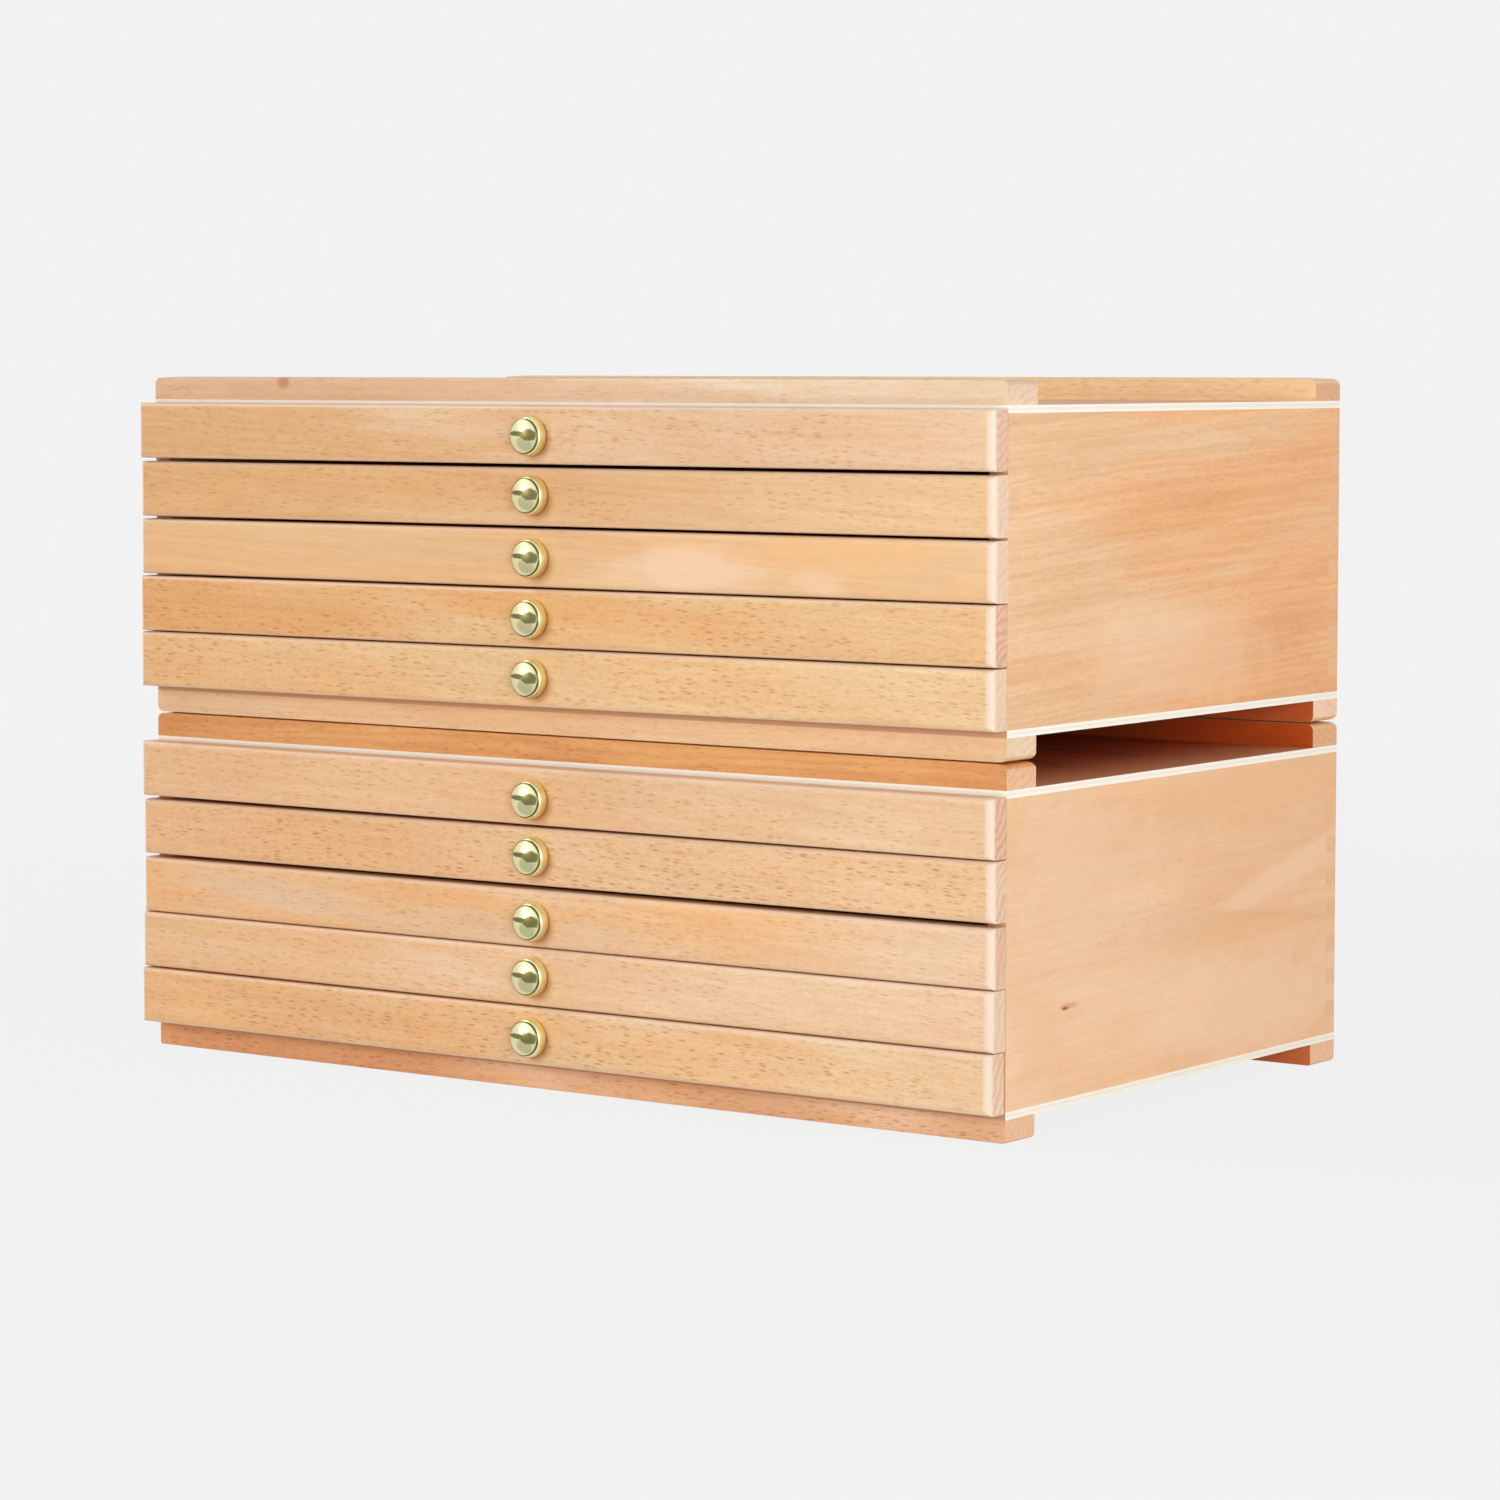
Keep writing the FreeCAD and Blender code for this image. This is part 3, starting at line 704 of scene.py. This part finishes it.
def plywood(name, number, low, high, faces, painted_shade_front=False, painted_light_rim=None):
    """Three plies, seen on the edges of a board from low to high, between two faces."""
    material, tree, surface = new_material(name)
    where = put(tree, "TexCoord").outputs
    parts = put(tree, "SeparateXYZ", {0: where["Object"]}).outputs
    facing = put(tree, "SeparateXYZ", {0: where["Normal"]}).outputs
    shifted = put(tree, "Mapping", {"Vector": where["Object"],
                                    "Location": (number * 0.7, number * 0.3, 0)}).outputs[0]

    height = put(tree, "MapRange", {"Value": parts["Z"], "From Min": low,
                                    "From Max": high}).outputs[0]
    off_middle = calc(tree, "ABSOLUTE", calc(tree, "SUBTRACT", height, 0.5))
    core = smooth(tree, off_middle, *CORE_REACH, 1.0, 0.0)
    fuzz = noise(tree, shifted, FUZZ_SCALE, 3.0)
    edge = blend_colour(tree, core, colour(*PALE_PLY), colour(*MIDDLE_PLY))
    rough = smooth(tree, fuzz, 0.35, 0.7, 0.0, 0.5)
    edge = blend_colour(tree, rough, edge, colour(*PLY_FUZZ))
    # painted shade on the front edge, under the overhanging drawer fronts
    if painted_shade_front:
        forward = smooth(tree, facing["Y"], -0.95, -0.8, 1.0, 0.0)
        edge = blend_colour(tree, forward, edge, colour(*PAINTED_SHADE_EDGE))
    veneer = noise(tree, shifted, VENEER_SCALE, 4.0, distortion=0.4)
    veneer = smooth(tree, veneer, 0.3, 0.7)
    flat = blend_colour(tree, veneer, colour(*faces[0]), colour(*faces[1]))
    lines = noise(tree, shifted, VENEER_LINE_SCALE, 3.0)
    lines = smooth(tree, lines, 0.35, 0.7, 0.0, 0.35)
    flat = blend_colour(tree, lines, flat, colour(*faces[0]), "MULTIPLY")
    # a painted lighter tone near the ends, where light reaches between the cases
    if painted_light_rim is not None:
        near = smooth(tree, calc(tree, "ABSOLUTE", parts["X"]), painted_light_rim - RIM_REACH, painted_light_rim)
        flat = blend_colour(tree, near, flat, colour(*PAINTED_LIGHT_RIM))
    face = smooth(tree, calc(tree, "ABSOLUTE", facing["Z"]), 0.6, 0.9)
    tone = blend_colour(tree, face, edge, flat)
    bump = put(tree, "Bump", {"Height": fuzz, "Distance": FUZZ_DEPTH,
                              "Strength": FUZZ_STRENGTH}).outputs[0]
    shader = put(tree, "BsdfPrincipled", {"Base Color": tone, "Normal": bump, "Roughness": 0.5,
                                          "IOR": 1.48})
    tree.links.new(shader.outputs[0], surface)
    return material


plies = [node for node in nodes if node.endswith(("top_board", "bottom_board", "_bottom"))]
for number, node in enumerate(sorted(plies)):
    low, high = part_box(node)
    faces = DRAWER_FACES if node.endswith("_bottom") else CASE_FACES
    rim = None
    if node in ("lower_top_board", "upper_bottom_board"):
        faces = PAINTED_SHADE_FACES
        rim = high.x
    shaded_front_edge = node.endswith("bottom_board")
    dress(node, plywood(node, number, low.z, high.z, faces, shaded_front_edge, rim))
print("plywood boards:", len(plies))

# %% [markdown]
# Inside each drawer stand plain beech walls, and on the case sides are beech runners.
# They see little light and little wear, so they share a quieter version of the same wood.

# %% Drawer boxes and runners
frames = sorted(node for node in nodes if node.endswith("_frame"))
for number, node in enumerate(frames, start=51):
    dress(node, beech(node, number, grain="y", deep=OCHRE, flecks=0.4))
for number, node in enumerate(("lower_runners", "upper_runners"), start=71):
    dress(node, beech(node, number, grain="y", light=OCHRE, flecks=0.4))
print("drawer boxes:", len(frames))

# %% [markdown]
# A knob is turned from brass in a lathe: a stout body that tapers a little, a rounded
# shoulder that slopes in to a fine groove, and a low polished dome. The lathe works the
# same way here. The outline is drawn once as a chain of points, each a radius and a height,
# and spun round its axis. Every point also keeps where it lies on the knob as an attribute,
# so that the finish falls on the same places of every knob alike.

# %% Turning the knobs
KNOB_OUTLINE = [
    (0.0, 0.0), (7.1, 0.0), (7.23, 0.1), (7.3, 0.3), (7.3, 1.0), (7.27, 1.7), (7.2, 2.4),
    (7.12, 2.9), (6.98, 3.3), (6.8, 3.62), (6.6, 3.86), (6.45, 3.98), (6.38, 4.1), (6.45, 4.2),
    (6.55, 4.26), (6.6, 4.36), (6.56, 4.5), (6.42, 4.66), (6.2, 4.82),
]
KNOB_HEIGHT = 6.7
DOME_STEPS = 9
LATHE_STEPS = 56
CLOSE = 1e-7


def dome(outline, top):
    """Carries an outline on to the axis in the arc of a low sphere."""
    radius, height = outline[-1]
    rise = top - height
    sphere = (radius ** 2 + rise ** 2) / (2 * rise)
    half = math.asin(radius / sphere)
    steps = [half * (1 - i / DOME_STEPS) for i in range(1, DOME_STEPS + 1)]
    return outline + [(sphere * math.sin(a), top - sphere * (1 - math.cos(a))) for a in steps]


def press_slot(bm, level, width, depth):
    """Sinks a narrow strip across the flat that lies at a level along Y, in millimetres."""
    for side in (-1, 1):
        bmesh.ops.bisect_plane(bm, geom=bm.verts[:] + bm.edges[:] + bm.faces[:], dist=CLOSE,
                               plane_co=(0, 0, side * width / 2 * MM), plane_no=(0, 0, 1))
    middles = {face: face.calc_center_median() for face in bm.faces}
    strip = [face for face, middle in middles.items()
             if abs(middle.y - level * MM) < 10 * CLOSE and abs(middle.z) < width / 2 * MM]
    moved = bmesh.ops.extrude_face_region(bm, geom=strip)["geom"]
    bmesh.ops.delete(bm, geom=[face for face in strip if face.is_valid], context="FACES")
    corners = [item for item in moved if isinstance(item, bmesh.types.BMVert)]
    bmesh.ops.translate(bm, verts=corners, vec=(0, -depth * MM, 0))


def turn(name, outline, centre, material, slot=None):
    """Spins an outline in millimetres round the axis that points out of a drawer front."""
    bm = bmesh.new()
    note = bm.verts.layers.float_vector.new("turned")
    chain = [bm.verts.new((radius * MM, -height * MM, 0)) for radius, height in outline]
    edges = [bm.edges.new(pair) for pair in zip(chain, chain[1:])]
    bmesh.ops.spin(bm, geom=chain + edges, cent=(0, 0, 0), axis=(0, 1, 0), dvec=(0, 0, 0),
                   angle=2 * math.pi, steps=LATHE_STEPS, use_merge=True, use_duplicate=False)
    bmesh.ops.remove_doubles(bm, verts=bm.verts, dist=CLOSE)
    if slot:
        press_slot(bm, *slot)
    bmesh.ops.recalc_face_normals(bm, faces=bm.faces)
    for vertex in bm.verts:
        vertex[note] = (vertex.co.x / MM, -vertex.co.y / MM, vertex.co.z / MM)
    bmesh.ops.translate(bm, verts=bm.verts, vec=centre)
    for face in bm.faces:
        face.smooth = True
    mesh = bpy.data.meshes.new(name)
    bm.to_mesh(mesh)
    bm.free()
    mesh.materials.append(material)
    piece = bpy.data.objects.new(name, mesh)
    bpy.context.scene.collection.objects.link(piece)
    return piece


print("points in a knob's outline:", len(dome(KNOB_OUTLINE, KNOB_HEIGHT)))

# %% [markdown]
# Polished brass is a metal, so its colour is the colour of what it mirrors, tinted yellow.
# Fingers keep the dome bright, and the body round it is duller and a warmer yellow. The
# groove at the dome's rim has gone olive with age. The same olive is painted at the foot as
# painted shade where the knob meets the wood, and on the dome as painted dark reflections:
# a thin streak across its upper half that widens to a patch on the right, with a fainter one
# below. All follow the place kept on each point: its height above the front and its
# distance from the knob's own axis, in millimetres.

# %% Brass
# Painted dark reflections on the dome, in millimetres of the turned knob.
PAINTED_REFLECTIONS = (  # the middle of each, how fast it ends along each axis, and its strength
    ((4.3, 0, 1.6), (0.25, 0, 0.40), 1.0),
    ((-0.3, 0, 2.2), (0.175, 0, 0.9), 1.0),
    ((2.5, 0, -1.3), (0.25, 0, 0.30), 0.42),
)
PAINTED_REFLECTION_EDGE = (0.66, 1.06)
PAINTED_REFLECTION_BEND = (2.2, 0, 2.2)
SHADED_FOOT = (0.15, 0.5)
SHOULDER = (2.6, 3.4)
GROOVE, GROOVE_RADIUS = (3.85, 4.05), (5.95, 6.3)
DOME_START = (4.3, 4.6)
DOME_BRASS = (236, 231, 184)
BODY_BRASS = (249, 237, 172)
OLIVE_BRASS = (104, 98, 50)
SCREW_BRASS = (206, 178, 104)
DARK_SCREW_BRASS = (120, 96, 42)


def brass(name, dome_tone, body_tone, patina_and_shade_tone, roughness, painted_reflection_share):
    """Brass with patina in its groove, painted shade at its foot and painted reflections on
    its dome.
    """
    material, tree, surface = new_material(name)
    turned = put(tree, "Attribute", attribute_name="turned",
                 attribute_type="GEOMETRY").outputs["Vector"]
    height = put(tree, "SeparateXYZ", {0: turned}).outputs["Y"]
    radius = vector(tree, "LENGTH", vector(tree, "MULTIPLY", turned, (1, 0, 1)))
    groove = times(tree, smooth(tree, radius, *GROOVE_RADIUS), smooth(tree, height, *GROOVE))
    # painted shade at the foot of the knob, where it meets the wood
    foot = smooth(tree, height, *SHADED_FOOT, 0.7, 0.0)
    cloud = put(tree, "TexNoise", {"Vector": turned, "Scale": 0.35, "Detail": 3.0}).outputs
    bend = vector(tree, "MULTIPLY", cloud["Color"], PAINTED_REFLECTION_BEND)
    bent = vector(tree, "ADD", turned, bend)
    patina_and_painted_dark = 0.0
    for centre, ends, share in PAINTED_REFLECTIONS:
        off = vector(tree, "MULTIPLY", vector(tree, "SUBTRACT", bent, centre), ends)
        off = vector(tree, "LENGTH", off)
        spot = smooth(tree, off, *PAINTED_REFLECTION_EDGE, share * painted_reflection_share, 0.0)
        patina_and_painted_dark = calc(tree, "MAXIMUM", patina_and_painted_dark, spot)
    patina_and_painted_dark = times(tree, patina_and_painted_dark, smooth(tree, height, *DOME_START))
    patina_and_painted_dark = calc(tree, "MAXIMUM", patina_and_painted_dark, calc(tree, "MAXIMUM", groove, foot))
    body = smooth(tree, height, *SHOULDER, 1.0, 0.0)
    tone = blend_colour(tree, body, colour(*dome_tone), colour(*body_tone))
    tone = blend_colour(tree, patina_and_painted_dark, tone, colour(*patina_and_shade_tone))
    rough = smooth(tree, height, 2.6, 3.2, roughness + 0.2, roughness + 0.12)
    shader = put(tree, "BsdfPrincipled", {"Base Color": tone, "Metallic": 1.0,
                                          "Roughness": rough})
    tree.links.new(shader.outputs[0], surface)
    return material


polished_brass = brass("polished_brass", DOME_BRASS, BODY_BRASS, OLIVE_BRASS, 0.25, painted_reflection_share=0.92)
plain_brass = brass("plain_brass", SCREW_BRASS, SCREW_BRASS, DARK_SCREW_BRASS, 0.35, painted_reflection_share=0.0)
print("worn places on a dome:", len(PAINTED_REFLECTIONS))

# %% [markdown]
# A screw comes through the front from the inside and holds the knob. Its flat head lies
# flush in the wood, with a straight slot. The head is turned like the knob, then the slot
# is pressed into it: the faces of a narrow strip across the head move down.

# %% Knobs and screws on the drawers
HEAD_LEVEL, SLOT_WIDTH, SLOT_DEPTH = 8.7, 0.9, 0.8
SCREW_OUTLINE = [
    (0.0, -HEAD_LEVEL), (3.3, -HEAD_LEVEL), (3.5, -8.5), (3.5, -6.75), (3.45, -6.7),
    (1.7, -6.7), (1.7, 3.9), (1.6, 4.0), (0.0, 4.0),
]
for drawer in FRONTS:
    low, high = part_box(drawer + "_knob")
    centre = Vector(((low.x + high.x) / 2, low.y + KNOB_HEIGHT * MM, (low.z + high.z) / 2))
    knob = turn(drawer + "_turned_knob", dome(KNOB_OUTLINE, KNOB_HEIGHT), centre,
                polished_brass)
    screw = turn(drawer + "_screw", SCREW_OUTLINE, centre, plain_brass,
                 slot=(HEAD_LEVEL, SLOT_WIDTH, SLOT_DEPTH))
    for piece in (knob, screw):
        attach(piece, drawer)
    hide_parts(drawer + "_knob")
print("knobs:", len(FRONTS), "faces in one:", len(knob.data.polygons))

# %% [markdown]
# Last, the boxes round the plain boards and round the dressed ones are written down, so
# that their sizes can be compared.

# %% Sizes and the end
visual_low, visual_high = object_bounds()
difference = max((cad_low - visual_low).length, (cad_high - visual_high).length)
print("largest difference in mm:", round(difference / MM, 3))
